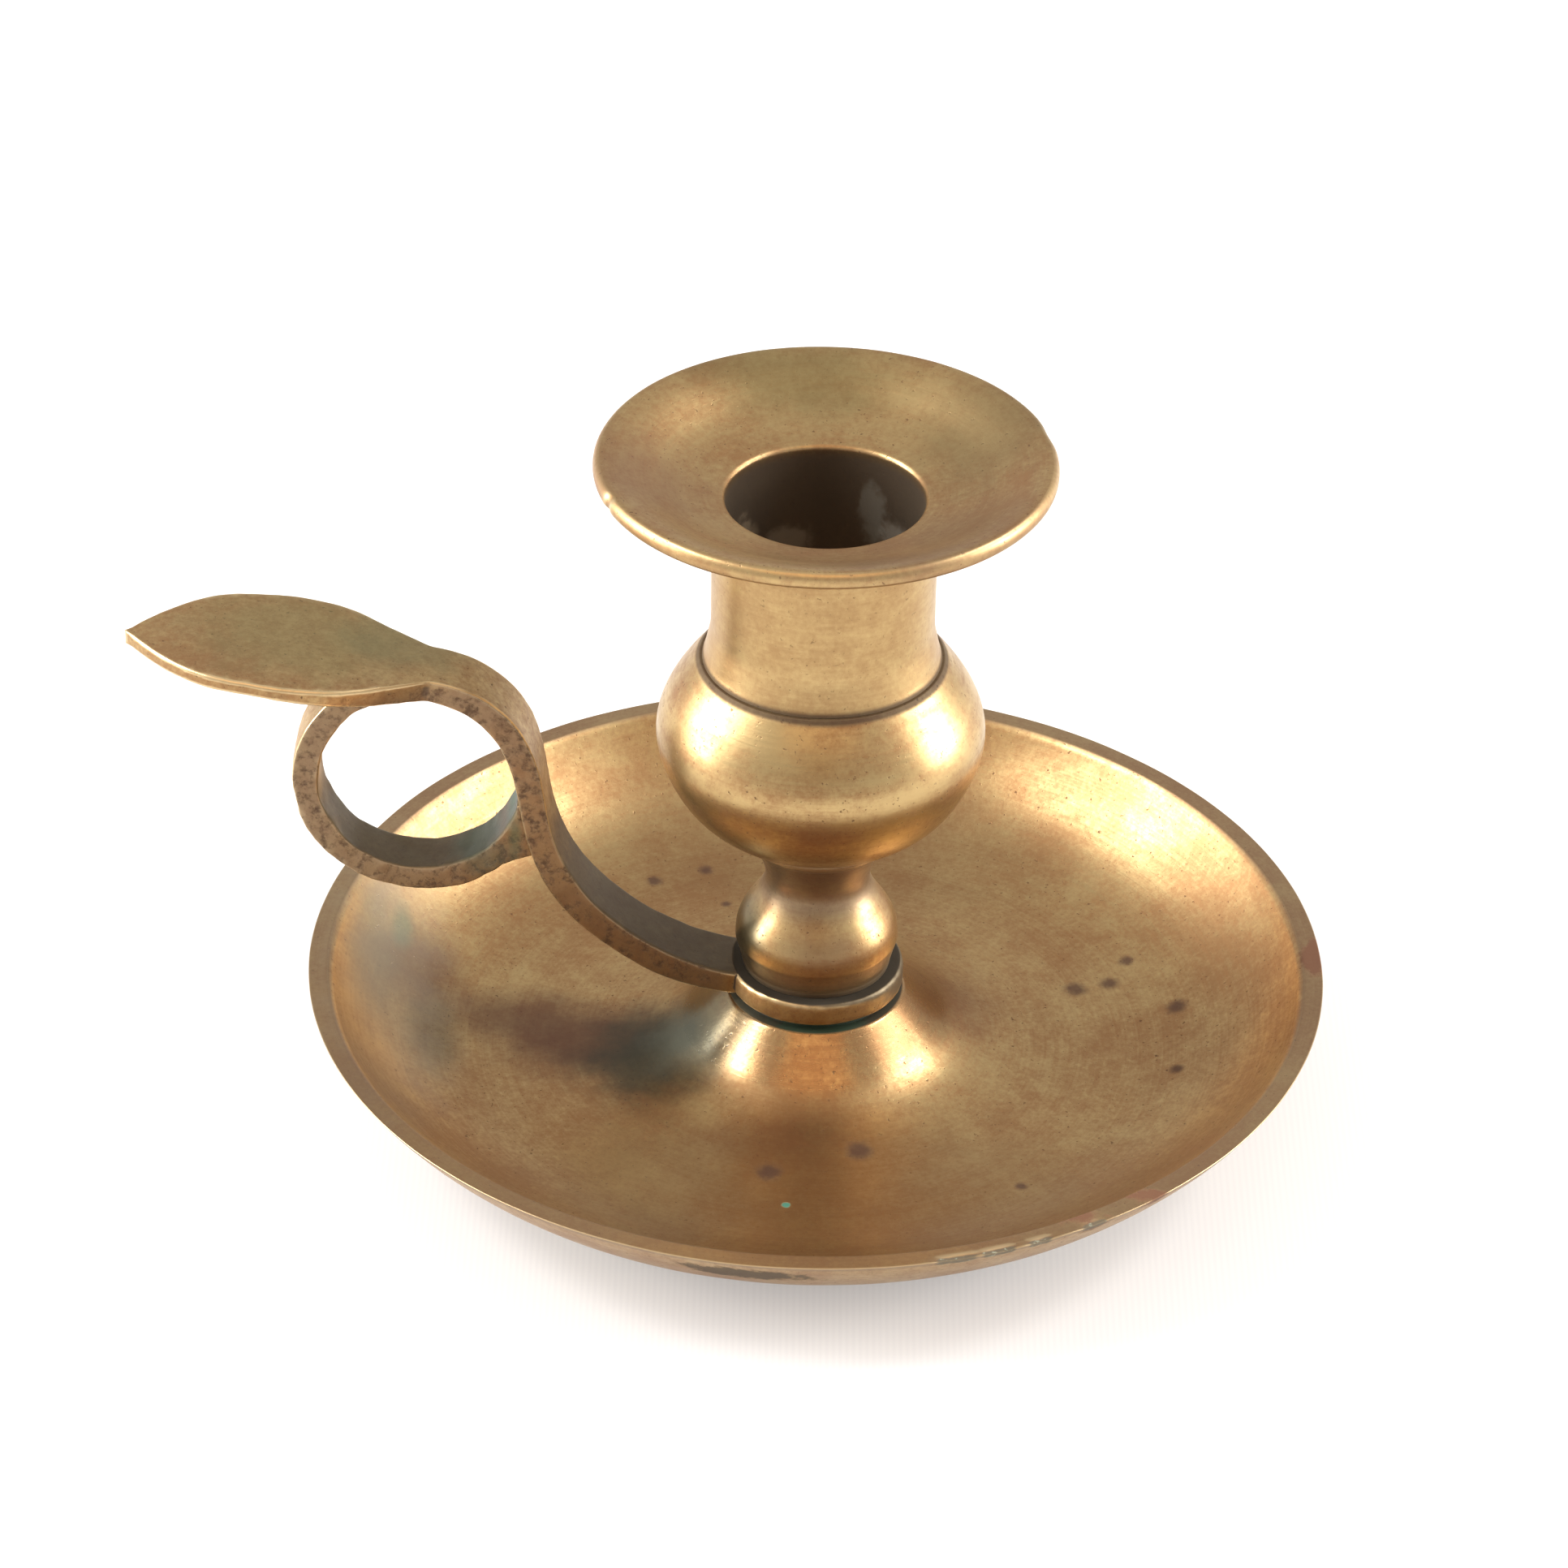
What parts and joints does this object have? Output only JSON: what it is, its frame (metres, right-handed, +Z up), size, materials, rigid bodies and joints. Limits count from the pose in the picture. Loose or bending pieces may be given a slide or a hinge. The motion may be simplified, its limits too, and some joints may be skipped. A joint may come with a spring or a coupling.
{
  "type": "candlestick",
  "caption": "Brass chamberstick: dished drip pan, turned baluster stem, flanged candle socket and an S-strap handle with thumb leaf and finger loop.",
  "frame": {"origin": "centre of the pan's foot ring, on the table and on the stem's axis", "axes": "+Z up along the stem towards the candle; the handle reaches out along -X"},
  "size_m": [0.1398, 0.12, 0.0824],
  "materials": {
    "pan_brass": "aged, satin, turned, with dark stains",
    "handle_brass": "aged, cast and hand filed",
    "stem_brass": "aged, satin, turned",
    "socket_brass": "aged, satin, turned, darker in the cup",
    "fixing_brass": "dull, tarnished"
  },
  "bodies": {
    "root": {"drip_pan": "pan_brass", "handle_strap": "handle_brass", "finger_loop": "handle_brass", "baluster_stem": "stem_brass", "candle_socket": "socket_brass", "stem_stud": "fixing_brass", "base_washer": "fixing_brass", "base_nut": "fixing_brass"}
  },
  "joints": []
}
